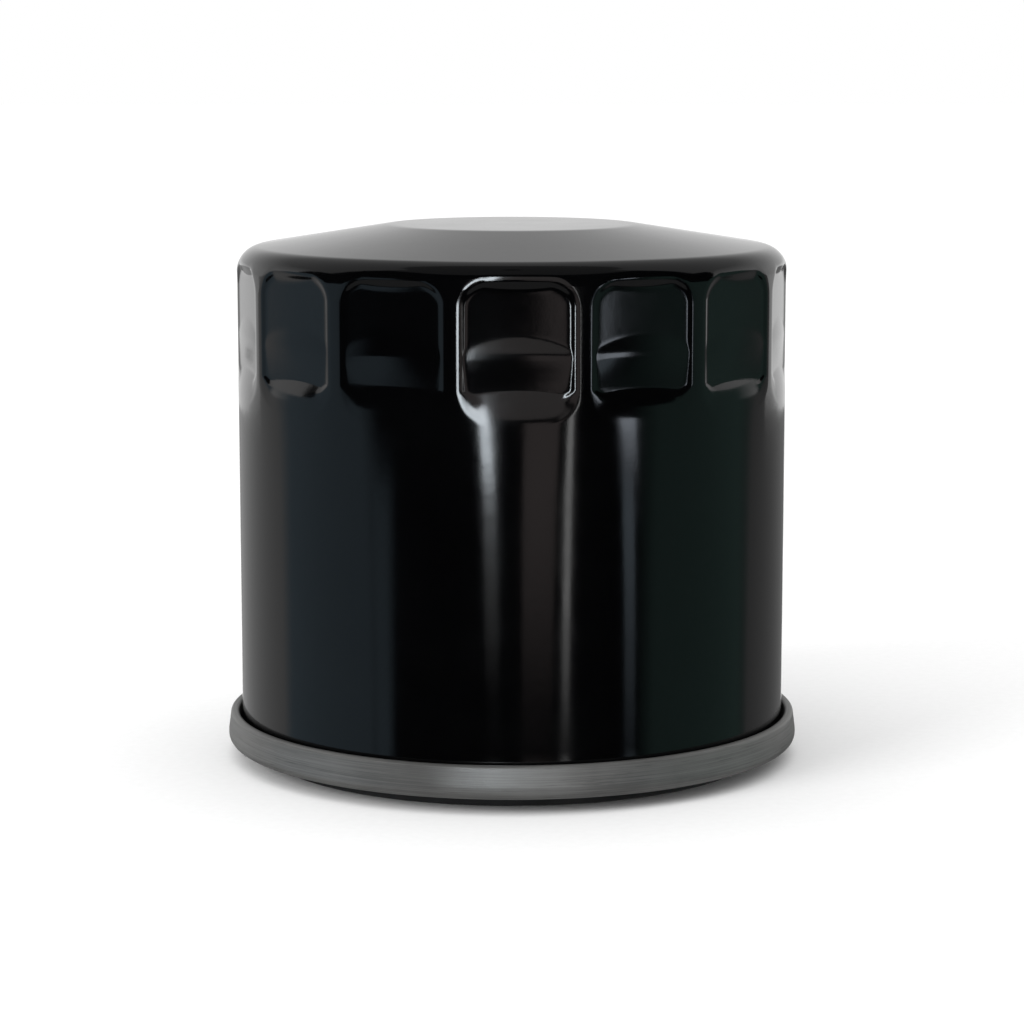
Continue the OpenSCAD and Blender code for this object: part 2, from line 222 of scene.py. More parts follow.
def flute_surface(r, z, phi, inset):
    """The radius of the can's surface once the flute centred on phi = 0 is pressed in."""
    drawn = np.exp(-np.clip(SCOOP_Z - 3 - z, 0, None) / TROUGH_REACH) * np.clip((FLUTE_TOP - z) / 4, 0, 1)
    r = r - TROUGH * drawn * (0.5 + 0.5 * np.cos(phi * FLUTES)) * (r > DISC_R)
    y = r * np.sin(phi)
    half_w = FLUTE_HALF_W + inset
    corner = FLUTE_CORNER + inset
    across = np.abs(y) - half_w + corner
    up = z - FLUTE_TOP + FLUTE_ARCH * (y / half_w) ** 2 - inset + corner
    edge = np.hypot(np.clip(across, 0, None), np.clip(up, 0, None)) - corner
    edge = edge + np.minimum(np.maximum(across, up), 0)
    ridge_top = RIDGE_H * (1 - (y / RIDGE_HALF_W) ** 2)
    above = eased_min(eased_ramp(RIDGE_Z + ridge_top - z, 0.2), ridge_top, 0.5)
    faded = np.clip((z - SCOOP_Z) / (RIDGE_Z + 0.4 - SCOOP_Z), 0, 1)
    ridge = RIDGE_SLOPE * above * faded**2 * (3 - 2 * faded)
    floor = (FLUTE_FLOOR_R - inset - FLUTE_CROWN * (y / half_w) ** 2 + ridge) / np.cos(phi)
    start = SCOOP_Z - SCOOP_ARCH * (y / half_w) ** 2
    fall = 1 - np.clip((start - z) / (start - SCOOP_LOW), 0, 1)
    drop = np.clip((SCOOP_Z - z) / (SCOOP_Z - SCOOP_LOW), 0, 1)
    half_scoop = half_w * (1 - drop**SCOOP_ROUND) ** (1 / SCOOP_ROUND)
    edge = np.maximum(edge, np.abs(y) - half_scoop)
    soft = np.clip(drop * 4, 0, 1)
    lip = LIP_SLOPE * np.clip((half_scoop - SCOOP_STREAK) / (half_w - SCOOP_STREAK), 0.15, 1)
    slope = WALL_SLOPE + (TOP_WALL_SLOPE - WALL_SLOPE) * np.clip(up / corner, 0, 1)
    wall = lip * eased_ramp(-edge, LIP_BEND + SCOOP_LIP_BEND * soft)
    inside = -edge - LIP_W - SCOOP_LIP * soft
    wall = wall + slope * eased_ramp(inside, WALL_BEND + SCOOP_WALL_BEND * soft)
    hard = CORNER_HARDNESS - SCOOP_SOFTNESS * soft
    low = np.clip((r - floor) * fall**2, THIN, None) ** -hard
    return r - (low + np.clip(wall, THIN, None) ** -hard) ** (-1 / hard) + THIN


def can_rows(inset, spacing, stride=1):
    """Rows of points over the can, from its foot to the middle of the dome. They are closest together near
    the flutes' edges; stride leaves points out."""
    edge = CAN_R * FLUTE_PITCH / 2
    coarse, middle, fine = np.linspace(0, 3.5, 6), np.linspace(3.8, 5.9, 13), np.linspace(6.0, 7.2, 13)
    half = np.concatenate([coarse, middle, fine, [edge]])
    one = np.concatenate([-half[:0:-1], half[:-1]])[::stride] / CAN_R
    profile = refined(can_profile(inset), spacing)
    angle = np.concatenate([one + FLUTE_TURN + k * FLUTE_PITCH for k in range(FLUTES)])
    rows = []
    for r, z in profile:
        radius = np.tile(flute_surface(r, z, one, inset), FLUTES) if r > 1e-9 else 0 * angle
        rows.append(np.stack([radius * np.cos(angle), radius * np.sin(angle), z + 0 * angle], -1))
    return rows


def make_can():
    """The drawn can: outer surface, inner surface and the flange hooked into the seam."""

    def fine(r, z):
        if r < DISC_R + 13:
            return 5.0
        if z > FLUTE_TOP - 4 or SCOOP_LOW - 0.5 < z < SCOOP_Z + 0.4:
            return 0.17
        if abs(z - RIDGE_Z - 1) < 1.6:
            return 0.3
        return 1.0 if z > SCOOP_LOW - 8 else 5.0

    def coarse(r, z):
        return 0.6 if z > SCOOP_LOW else 5.0

    outer = can_rows(0, fine)
    inner = can_rows(SHEET, coarse, 4)[::-1]
    angle = np.arctan2(outer[0][:, 1], outer[0][:, 0])
    hook = outline([(CAN_R - SHEET, CAN_FOOT, 0.3), (HOOK_R, CAN_FOOT, 0.3), (HOOK_R, LID_TOP - 0.9, 0.12),
                    (HOOK_R - 0.35, LID_TOP - 0.9, 0.12), (HOOK_R - 0.35, CAN_FOOT + 0.4, 0.15),
                    (CAN_R, CAN_FOOT + 0.4, 0.15), (CAN_R, CAN_FOOT + 1)])[7:-1]
    rim = [np.stack([r * np.cos(angle), r * np.sin(angle), z + 0 * angle], -1) for r, z in hook]
    return skin("can_shell", rim + outer[1:] + inner, sharp=60)


# ---------------------------------------------------------------- lid, gasket and base plate


GASKET_INNER_R = 28.0


def make_lid():
    """Seaming lid: gasket groove, flange and the rolled edge that stands outside the can's foot."""
    wall = GASKET_R + 0.1
    lip = GASKET_INNER_R - 0.1
    t = 0.4
    points = outline([
        (lip - t, 2.4, 0.18), (lip, 2.4, 0.18), (lip, GASKET_TOP + 0.05, 0.3), (wall, GASKET_TOP + 0.05, 0.3),
        (wall, LID_Z, 0.5), (LID_R, LID_Z, 1.15), (LID_R - 0.02, LID_Z + 1.6, 1.2),
        (LID_R - 0.35, LID_TOP, 0.49), (LID_R - 1.34, LID_TOP, 0.45), (CAN_R + 0.1, 3.0, 0.15),
        (CAN_R + 0.5, 3.0, 0.15), (HOOK_R - 0.4, LID_TOP - 0.85, 0.1), (HOOK_R + 0.05, LID_TOP - 0.85, 0.1),
        (HOOK_R + 0.05, LID_Z + t, 0.2), (wall + t, LID_Z + t, 0.3), (wall + t, GASKET_TOP + 0.05 + t, 0.5),
        (lip - t, GASKET_TOP + 0.05 + t, 0.5),
    ], steps=7)
    return lathe("rolled_seam_lid", points, 360)


def make_gasket():
    """Square-cut ring with rounded corners and one shallow groove round its sealing face."""
    groove = 0.12
    mid = (GASKET_R + GASKET_INNER_R) / 2
    points = outline([
        (GASKET_INNER_R, 0, 0.45), (mid - 0.55, 0, 0.1), (mid - 0.4, groove, 0.1), (mid + 0.4, groove, 0.1),
        (mid + 0.55, 0, 0.1), (GASKET_R, 0, 0.45), (GASKET_R, GASKET_TOP, 0.2),
        (GASKET_INNER_R, GASKET_TOP, 0.2),
    ])
    return lathe("gasket_ring", points, 256)


def circle(r, z, angle):
    """A row of points round the axis; r may be one radius or one for each point."""
    return np.stack([r * np.cos(angle), r * np.sin(angle), z + 0 * angle], -1)


def ripple(obj, radial, upward, waves, seed):
    """Makes a turned piece slightly uneven round the axis, by amounts in millimetres."""
    rng = np.random.default_rng(seed)
    co = np.empty(len(obj.data.vertices) * 3)
    obj.data.vertices.foreach_get("co", co)
    co = co.reshape(-1, 3)
    angle = np.arctan2(co[:, 1], co[:, 0])
    wave = sum(rng.uniform(0.5, 1) * np.sin(n * angle + rng.uniform(0, 6)) for n in waves) / len(waves)
    co[:, :2] *= 1 + (radial * MM * wave / np.hypot(co[:, 0], co[:, 1]))[:, None]
    co[:, 2] += upward * MM * wave
    obj.data.vertices.foreach_set("co", co.ravel())
    obj.data.update()
    return obj


def merged(name, objects):
    """One object from several, which are then deleted."""
    mesh = bpy.data.meshes.new(name)
    shape = bmesh.new()
    for obj in objects:
        shape.from_mesh(obj.data)
        bpy.data.objects.remove(obj)
    shape.to_mesh(mesh)
    shape.free()
    made = bpy.data.objects.new(name, mesh)
    bpy.context.scene.collection.objects.link(made)
    return made


def carve(obj, cutters, sharp=40):
    """Cuts closed meshes out of obj and deletes them."""
    cutter = merged("cutters", cutters)
    tool = obj.modifiers.new("cut", "BOOLEAN")
    tool.object = cutter
    tool.solver = "EXACT"
    bpy.context.view_layer.update()
    mesh = bpy.data.meshes.new_from_object(obj.evaluated_get(bpy.context.evaluated_depsgraph_get()))
    obj.modifiers.clear()
    obj.data = mesh
    bpy.data.objects.remove(cutter)
    mesh.shade_smooth()
    mesh.set_sharp_from_angle(angle=math.radians(sharp))
    even = obj.modifiers.new("even_shading", "WEIGHTED_NORMAL")
    even.keep_sharp = True
    return obj


def drill(x, y, radius, low, high, flare=0.3):
    """A cutter for a round hole with broken edges, standing at x, y."""
    past = 0.5
    wide = radius + flare + past
    points = [(0, low - past), (wide, low - past), (radius, low + flare), (radius, high - flare),
              (wide, high + past), (0, high + past)]
    angle = np.arange(48) * math.pi / 24
    return skin("drill", [circle(r, z, angle) + (x, y, 0) for r, z in points], False)


def make_sealant():
    """Bead of sealing compound with an uneven, hand-laid surface."""
    r, low, high = extent("seam_sealant")
    side = r - 0.04
    points = outline([
        (r - 1.4, low, 0.12), (side, low, 0.05), (side, high, 0.12), (r - 0.5, low + 0.6, 0.35),
    ])
    return ripple(lathe("sealant_bead", points, 480), 0.03, 0.0, (9, 23, 41, 67), 5)


THREAD_MINOR_R = 9.19
THREAD_R = 10.0
THREAD_PITCH = 1.5
COLLAR_R = 12.2
PLATE_T = 3.0
INLETS = 8
INLET_R = 3.0
INLET_CIRCLE_R = 18.5


def make_plate():
    """Base plate with its inlet holes and a threaded collar."""
    mouth = THREAD_R + 0.2
    top = PLATE_Z + PLATE_T
    angle = np.arange(192) * math.pi / 96
    outer = outline([
        (mouth, PLATE_Z), (PLATE_R - 3.2, PLATE_Z), (PLATE_R - 3, PLATE_Z + 0.15),
        (PLATE_R, PLATE_Z + 0.15, 0.3), (PLATE_R, top, 0.6), (COLLAR_R, top, 1.0),
        (COLLAR_R, COLLAR_TOP, 0.5), (mouth, COLLAR_TOP),
    ], False, 6)
    rows = [circle(r, z, angle) for r, z in outer]
    for z in np.arange(COLLAR_TOP - 0.1, PLATE_Z + 0.05, -0.1):
        turn = np.cos(2 * math.pi * z / THREAD_PITCH - angle)
        thread = THREAD_MINOR_R + (THREAD_R - THREAD_MINOR_R) * np.clip(0.5 - 0.75 * turn, 0, 1)
        rows.append(circle(np.maximum(thread, mouth - min(COLLAR_TOP - z, z - PLATE_Z)), z, angle))
    holes = []
    for k in range(INLETS):
        a = 2 * math.pi * k / INLETS
        holes.append(drill(INLET_CIRCLE_R * math.cos(a), INLET_CIRCLE_R * math.sin(a), INLET_R, PLATE_Z, top))
    return carve(skin("threaded_base_plate", rows), holes)


def make_drainback_valve():
    """Moulded rubber hat with a collar, a ribbed cone and a rounded lip that lies on the base plate."""
    r, _, top = extent("anti_drainback_valve")
    low = PLATE_Z + PLATE_T + 0.05
    bore = COLLAR_R + 0.05
    rib_r, rib_z = 19.5, 10.85
    return lathe("drainback_diaphragm", outline([
        (bore, top - 3.1, 0.3), (bore + 1.8, top - 3.1, 0.4), (bore + 3.8, top - 1.6, 0.5),
        (r - 1.8, low, 0.3), (r, low, 0.3), (r, low + 0.7, 0.3), (r - 1.6, low + 1, 0.6),
        (rib_r + 0.4, rib_z - 0.44, 0.2), (rib_r, rib_z, 0.2), (rib_r - 0.5, rib_z + 0.15, 0.2),
        (bore + 4.8, top - 0.6, 0.5), (bore + 3.8, top, 0.4), (bore + 1.5, top, 0.1),
        (bore + 1.35, top - 0.15, 0.1), (bore + 0.95, top - 0.15, 0.1), (bore + 0.8, top, 0.1),
        (bore, top, 0.3),
    ]), 288)


CAP_T = 0.4
CAP_HOLE_R = 12.7
CAP_RIM = 3.6


def end_cap(name, node, face, up):
    """Pressed cup with coined rings in its face and two rims, which point up (1) or down (-1) from it."""
    r = extent(node)[0]

    def at(height):
        return face + up * height

    corners = [(CAP_HOLE_R, at(0), 0.55)]
    for ring in (17.5, 24.5):
        corners += [(ring - 0.9, at(0), 0.1), (ring - 0.75, at(0.13), 0.1), (ring + 0.75, at(0.13), 0.1),
                    (ring + 0.9, at(0), 0.1)]
    corners += [
        (r, at(0), 0.75), (r, at(CAP_RIM), 0.15), (r - CAP_T, at(CAP_RIM), 0.15),
        (r - CAP_T, at(CAP_T), 0.35), (CAP_HOLE_R + CAP_T, at(CAP_T), 0.15),
        (CAP_HOLE_R + CAP_T, at(CAP_RIM - 0.6), 0.15),
        (CAP_HOLE_R, at(CAP_RIM - 0.6), 0.15),
    ]
    return lathe(name, outline(corners[::up]), 288)


def potting(name, node, face, up):
    """Bed of cured adhesive whose top sags between the pleats and climbs the cap's rim."""
    r = extent(node)[0]
    inner = CAP_HOLE_R + CAP_T + 0.05

    def at(height):
        return face + up * height

    corners = [
        (inner, at(0), 0.3), (r, at(0), 0.35), (r, at(2.68), 0.15), (r - 0.35, at(2.0), 0.4),
        (r - 0.9, at(1.75), 0.3), (23.5, at(1.7)), (18.0, at(1.7)), (inner + 1.2, at(1.75), 0.3),
        (inner, at(1.78), 0.2),
    ]
    return ripple(lathe(name, outline(corners[::up]), 416), 0.0, 0.02, (52, 104, 19, 7), 11)


PLEATS = 52
PAPER_T = 0.58


def make_media():
    """Paper folded into a closed ring of pleats with rounded tips, bowed a little between its ends."""
    r, low, high = extent("pleated_media")
    r -= 0.02
    bend = 0.34
    half_pitch = math.pi / PLEATS
    tip = complex(r - PAPER_T / 2 - bend, 0)
    root_r = 15.22 + PAPER_T / 2 + bend
    root = root_r * complex(math.cos(half_pitch), math.sin(half_pitch))
    across = root - tip
    slope = math.atan2(across.imag, -across.real) - math.asin(2 * bend / abs(across))
    normal = math.pi / 2 - slope
    one = [tip + bend * np.exp(1j * normal * k / 6) for k in range(7)]
    leave, arrive = one[-1], root - bend * np.exp(1j * normal)
    one += [leave + (arrive - leave) * k / 6 for k in range(1, 6)]
    one += [root - bend * np.exp(1j * (normal + (half_pitch - normal) * k / 6)) for k in range(7)]
    one = np.array(one)
    turn = np.exp(1j * half_pitch)
    back = np.conj(one / turn)[::-1] * turn
    pleat = np.concatenate([one[:-1], back[:-1]])
    ring = np.concatenate([pleat * np.exp(2j * half_pitch * k) for k in range(PLEATS)])
    ahead = np.roll(ring, -1) - np.roll(ring, 1)
    side = ahead / np.abs(ahead) / 1j * PAPER_T / 2
    rng = np.random.default_rng(3)
    lean = np.repeat(rng.uniform(-1, 1, PLEATS), len(pleat))
    lean = np.convolve(np.concatenate([lean[-9:], lean, lean[:9]]), np.ones(19) / 19, "valid")
    rows = []
    levels = np.linspace(low, high, 13)
    for wall in (side, -side):
        for z in levels if wall is side else levels[::-1]:
            bow = 0.16 * lean * math.sin(math.pi * (z - low) / (high - low)) / np.abs(ring)
            points = (ring + wall) * np.exp(1j * bow)
            rows.append(np.stack([points.real, points.imag, z + 0 * points.real], -1))
    return skin("folded_paper", rows, sharp=70)


def make_seam_clip():
    """Folded strip that grips the joint between the paper's two ends, pinched at regular steps."""
    r, low, high = extent("media_seam_clip")
    inside, outside = 0.95, 1.25
    section = outline([
        (r, -outside, 0.35), (r, outside, 0.35), (r - 3.3, outside, 0.1), (r - 3.3, inside, 0.1),
        (r - 0.3, inside, 0.1), (r - 0.3, -inside, 0.1), (r - 3.3, -inside, 0.1), (r - 3.3, -outside, 0.1),
    ], steps=4)
    steps = round((high - low) / 0.3)
    levels = np.arange(0, steps + 1) * (high - low) / steps + low
    rows = []
    for z in levels:
        pinch = 1 - 0.12 * np.exp(-(((z - low) % 4.0 - 2.0) / 0.45) ** 2)
        reach = np.clip((r - 0.5 - section[:, 0]) / 1.5, 0, 1)
        rows.append(np.stack([section[:, 0], section[:, 1] * (1 - (1 - pinch) * reach), z + 0 * reach], -1))
    clip = skin("seam_clip_strip", rows, False, 35)
    total = len(clip.data.vertices)
    cap_end(clip, range(len(section) - 1, -1, -1))
    cap_end(clip, range(total - len(section), total))
    return clip


def cap_end(obj, loop):
    """Closes the end of a swept piece with one face."""
    shape = bmesh.new()
    shape.from_mesh(obj.data)
    shape.verts.ensure_lookup_table()
    shape.faces.new([shape.verts[i] for i in loop])
    shape.to_mesh(obj.data)
    shape.free()
    obj.data.set_sharp_from_angle(angle=math.radians(35))


TUBE_ROWS = 6
TUBE_HOLES = 10


def make_tube():
    """Perforated tube. The punch turns each hole's edge inwards."""
    r, low, high = extent("center_tube")
    step = (high - low) / TUBE_ROWS
    half_turn = math.pi / TUBE_HOLES
    edge = []
    for k in range(8):
        edge.append((-half_turn + half_turn * k / 4, -step / 2))
    for k in range(4):
        edge.append((half_turn, -step / 2 + step * k / 4))
    for k in range(8):
        edge.append((half_turn - half_turn * k / 4, step / 2))
    for k in range(4):
        edge.append((-half_turn, step / 2 - step * k / 4))
    edge = np.array(edge)
    facing = np.arctan2(edge[:, 1], edge[:, 0] * r)
    hole = [(2.1, 0), (1.9, 0), (1.72, 0.05), (1.6, 0.2), (1.5, 0.5), (1.42, 0.85),
            (1.56, 0.9), (1.66, 0.62), (1.85, 0.5), (2.1, 0.5)]
    vertices, faces = [], []
    for row in range(TUBE_ROWS):
        for k in range(TUBE_HOLES):
            turn = 2 * half_turn * (k + (row % 2) / 2)
            z = low + (row + 0.5) * step
            first = len(vertices)
            rings = [(edge[:, 0], edge[:, 1], 0.0)]
            rings += [(reach * np.cos(facing) / r, reach * np.sin(facing), drop) for reach, drop in hole]
            rings += [(edge[:, 0], edge[:, 1], 0.5)]
            for across, up, drop in rings:
                vertices += [((r - drop) * math.cos(turn + a), (r - drop) * math.sin(turn + a), z + u)
                             for a, u in zip(across, up)]
            for ring in range(len(rings) - 1):
                for i in range(24):
                    a, b = first + ring * 24 + i, first + ring * 24 + (i + 1) % 24
                    faces.append((a, b, b + 24, a + 24))
            for side, i0 in ((0, 0), (1, 12)):
                if (row == 0 and side == 0) or (row == TUBE_ROWS - 1 and side == 1):
                    last = first + (len(rings) - 1) * 24
                    for i in range(i0, i0 + 8):
                        faces.append((first + (i + 1) % 24, first + i, last + i, last + (i + 1) % 24))
    tube = mesh_object("perforated_tube", vertices, faces, 35)
    shape = bmesh.new()
    shape.from_mesh(tube.data)
    bmesh.ops.remove_doubles(shape, verts=shape.verts, dist=1e-7)
    bmesh.ops.recalc_face_normals(shape, faces=shape.faces)
    shape.to_mesh(tube.data)
    shape.free()
    tube.data.set_sharp_from_angle(angle=math.radians(50))
    return tube


def make_housing():
    """Pressed seat of the relief valve, with a raised lip round its opening."""
    r, low, high = extent("bypass_valve_housing")
    wall = 9.1
    return lathe("relief_seat", outline([
        (4.6, low, 0.12), (5.05, low, 0.12), (5.05, low + 0.3, 0.12), (wall, low + 0.3, 0.8),
        (wall, high - 0.5, 0.35), (r, high - 0.5, 0.12), (r, high, 0.2), (wall - 0.5, high, 0.8),
        (wall - 0.5, low + 0.8, 0.35), (4.6, low + 0.8, 0.3),
    ]), 192)


STEM_HOLE_R = 1.27


def make_seal():
    """Rubber washer with the ring that the seat's lip presses into it."""
    r, low, high = extent("bypass_valve_seal")
    return lathe("relief_seal", outline([
        (STEM_HOLE_R, low, 0.1), (r, low, 0.2), (r, high, 0.25), (5.15, high, 0.1), (4.95, high - 0.06, 0.05),
        (4.7, high - 0.06, 0.05), (4.5, high, 0.1), (STEM_HOLE_R, high, 0.1),
    ]), 128)


def make_disc():
    """Valve disc with a turned-down rim and a shallow pressed ring."""
    r, low, high = extent("bypass_valve_disc")
    return lathe("relief_disc", outline([
        (STEM_HOLE_R, high - 0.6, 0.1), (2.9, high - 0.6, 0.2), (3.1, high - 0.5, 0.2),
        (r - 0.5, high - 0.5, 0.25), (r - 0.5, low, 0.15), (r, low, 0.2), (r, high, 0.45),
        (STEM_HOLE_R, high, 0.1),
    ]), 128)


def make_stem():
    """Rivet with a domed head and a chamfered tail."""
    r, low, high = extent("bypass_valve_stem")
    shank = 1.19
    points = outline([
        (0, low), (shank - 0.3, low, 0.05), (shank, low + 0.4, 0.1), (shank, high - 0.6),
        (r, high - 0.6, 0.15), (r, high, 0.4), (0, high),
    ], False)
    return lathe("relief_rivet", points, 96, False)


def make_cage():
    """Deep-drawn cage with rounded flow windows and drain holes in its floor."""
    r, low, high = extent("bypass_valve_cage")
    t = 0.45
    body = lathe("relief_cage", outline([
        (1.25, low, 0.15), (r, low, 0.9), (r, high, 0.15), (r - t, high, 0.15), (r - t, low + t, 0.45),
        (1.25, low + t, 0.15),
    ]), 192)
    sill, lintel = low + 1.65, low + 6.65
    window = outline([(-4, sill, 1.2), (4, sill, 1.2), (4, lintel, 1.2), (-4, lintel, 1.2)])
    cutters = []
    for k in range(4):
        a = math.pi * k / 2
        side, z = window[:, 0], window[:, 1]
        ends = []
        for out in (r - 2, r + 2):
            x = out * math.cos(a) - side * math.sin(a)
            y = out * math.sin(a) + side * math.cos(a)
            ends.append(np.stack([x, y, z], -1))
        middles = [np.tile(end.mean(axis=0), (len(window), 1)) for end in ends]
        cutters.append(skin("window", [middles[0], *ends, middles[1]], False))
        b = a + math.pi / 4
        cutters.append(drill(6.5 * math.cos(b), 6.5 * math.sin(b), 1.5, low, low + t, 0.08))
    return carve(body, cutters)


def coil(name, node, wire, r_low, r_high, turns, sides=20, end_turns=0.9):
    """A coil spring with close-wound end coils, which climb by about a wire's thickness."""
    _, z_low, z_high = extent(node)
    total = turns + 2 * end_turns
    low, high = z_low + wire, z_high - wire
    rise = 2.1 * wire
    t = np.linspace(0, total, int(total * 64))
    z = np.interp(t, [0, end_turns, total - end_turns, total], [low, low + rise, high - rise, high])
    z = np.convolve(np.pad(z, 4, "edge"), np.ones(9) / 9, "valid")
    around = np.arange(sides) * 2 * math.pi / sides
    rows = []
    for k, turn in enumerate(t):
        r = r_low + (r_high - r_low) * turn / total
        a = 2 * math.pi * turn
        if k in (0, len(t) - 1):
            rows.append(np.tile([r * math.cos(a), r * math.sin(a), z[k]], (sides, 1)))
            out = r + 0.8 * wire * np.cos(around)
            end = np.stack([out * math.cos(a), out * math.sin(a), z[k] + 0.8 * wire * np.sin(around)], -1)
        out = r + wire * np.cos(around)
        full = np.stack([out * math.cos(a), out * math.sin(a), z[k] + wire * np.sin(around)], -1)
        rows += [end, full] if k == 0 else [full]
    rows[-2], rows[-1] = rows[-1], rows[-2]
    return skin(name, rows, False, 50)


# ---------------------------------------------------------------- materials


class Nodes:
    """Short calls that add and link shader nodes in one material."""

    def __init__(self, name):
        self.material = bpy.data.materials.new(name)
        self.material.use_nodes = True
        self.tree = self.material.node_tree
        self.shader = self.tree.nodes["Principled BSDF"]

    def add(self, kind, inputs=(), **settings):
        """A node with its settings; inputs are {socket: number, colour or another socket}."""
        made = self.tree.nodes.new("ShaderNode" + kind)
        for key, value in settings.items():
            setattr(made, key, value)
        for key, value in dict(inputs).items():
            self.put(made.inputs[key], value)
        return made

    def put(self, socket, value):
        if isinstance(value, bpy.types.NodeSocket):
            self.tree.links.new(value, socket)
        else:
            socket.default_value = value

    def math(self, operation, a, b=0.0):
        return self.add("Math", {0: a, 1: b}, operation=operation).outputs[0]

    def place(self):
        """Position on the piece, in metres."""
        return self.add("TexCoord").outputs["Object"]

    def around(self, along, up, out=0.0):
        """Coordinates for marks that run round the axis: turns, height and radius, each scaled."""
        split = self.add("SeparateXYZ", {0: self.place()}).outputs
        turn = self.math("ARCTAN2", split[1], split[0])
        radius = self.math("SQRT", self.math("ADD", self.math("MULTIPLY", split[0], split[0]),
                                             self.math("MULTIPLY", split[1], split[1])))
        scaled = [self.math("MULTIPLY", turn, along), self.math("MULTIPLY", split[2], up)]
        scaled.append(self.math("MULTIPLY", radius, out))
        return self.add("CombineXYZ", dict(enumerate(scaled))).outputs[0]

    def noise(self, where, scale, detail=2.0, rough=0.5):
        return self.add("TexNoise", {"Vector": where, "Scale": scale, "Detail": detail,
                                     "Roughness": rough}).outputs["Fac"]

    def span(self, value, low, high, start=0.0, end=1.0):
        """Maps value from start..end to low..high."""
        return self.add("MapRange", {"Value": value, "From Min": start, "From Max": end,
                                     "To Min": low, "To Max": high}).outputs["Result"]

    def blend(self, value, low, high, start=0.35, end=0.65):
        """A colour between low and high as value goes from start to end."""
        ramp = self.add("ValToRGB", {"Fac": value})
        ramp.color_ramp.elements[0].position = start
        ramp.color_ramp.elements[0].color = (*low, 1)
        ramp.color_ramp.elements[1].position = end
        ramp.color_ramp.elements[1].color = (*high, 1)
        return ramp.outputs["Color"]

    def bump(self, height, strength, distance, under=None):
        made = self.add("Bump", {"Height": height, "Strength": strength, "Distance": distance})
        if under is not None:
            self.put(made.inputs["Normal"], under)
        return made.outputs["Normal"]

    def set(self, **inputs):
        for key, value in inputs.items():
            self.put(self.shader.inputs[key.replace("_", " ")], value)
        return self.material


def paint_material():
    """Gloss black enamel with orange peel, faint dust and handling marks."""
    n = Nodes("black_enamel")
    here = n.place()
    dust = n.noise(here, 90, 5, 0.65)
    peel = n.noise(here, 620, 2)
    speck = n.noise(here, 5200, 1)
    normal = n.bump(peel, 0.1, 0.00003)
    normal = n.bump(speck, 0.12, 0.00001, normal)
    return n.set(
        Base_Color=n.blend(dust, (0.0005, 0.0005, 0.0007), (0.001, 0.0011, 0.0013), 0.3, 0.75),
        Roughness=n.span(dust, 0.07, 0.13, 0.3, 0.75), Specular_IOR_Level=0.5, Normal=normal,
    )


def plated_material(name="zinc_plate", tone=(0.205, 0.205, 0.2), shine=0.36):
    """Satin zinc plate with fine lines and a few darker scratches that run round the ring."""
    n = Nodes(name)
    lines = n.noise(n.around(2.0, 9000, 9000), 1.0, 4, 0.7)
    scuff = n.noise(n.around(7.0, 5200, 5200), 1.0, 3, 0.6)
    cloud = n.noise(n.place(), 55, 4, 0.6)
    dark = tuple(c * 0.6 for c in tone)
    worn = n.math("ADD", n.math("MULTIPLY", cloud, 0.4), n.math("MULTIPLY", lines, 0.6))
    colour = n.blend(worn, dark, tone, 0.4, 0.58)
    scratched = n.add("Mix", {"Factor": n.span(scuff, 0, 0.7, 0.6, 0.72)}, data_type="RGBA")
    n.put(scratched.inputs["A"], colour)
    n.put(scratched.inputs["B"], (*(c * 0.4 for c in tone), 1))
    normal = n.bump(lines, 0.5, 0.00002)
    return n.set(
        Base_Color=scratched.outputs["Result"], Metallic=0.55,
        Roughness=n.span(cloud, shine, shine + 0.14, 0.3, 0.7), Normal=normal,
    )


def rubber_material(name="nitrile_rubber", tone=(0.012, 0.012, 0.0125), rough=0.55):
    """Matte moulded rubber with a fine grain and a faint bloom."""
    n = Nodes(name)
    here = n.place()
    bloom = n.noise(here, 160, 5, 0.6)
    grain = n.noise(here, 4200, 3)
    pale = tuple(c * 2.2 + 0.004 for c in tone)
    return n.set(
        Base_Color=n.blend(bloom, tone, pale, 0.4, 0.8),
        Roughness=n.span(bloom, rough, rough + 0.18, 0.3, 0.7), Specular_IOR_Level=0.35,
        Normal=n.bump(grain, 0.3, 0.00003),
    )


def steel_material(name, tone, shine, metal=0.9, along=2.0, up=6000, out=6000, stain=0.5):
    """Bare or plated steel: fine tool or drawing lines, stains and a thin patchy film of oil."""
    n = Nodes(name)
    lines = n.noise(n.around(along, up, out), 1.0, 4, 0.65)
    cloud = n.noise(n.place(), 130, 5, 0.6)
    spots = n.noise(n.place(), 900, 3, 0.7)
    worn = tuple(c * stain for c in tone)
    shade = n.span(spots, -0.08, 0.08, 0.3, 0.7)
    mixed = n.math("ADD", cloud, shade)
    normal = n.bump(lines, 0.35, 0.00002)
    normal = n.bump(spots, 0.15, 0.00002, normal)
    return n.set(
        Base_Color=n.blend(mixed, worn, tone, 0.32, 0.62), Metallic=metal,
        Roughness=n.span(cloud, shine + 0.16, shine, 0.3, 0.7), Normal=normal,
    )


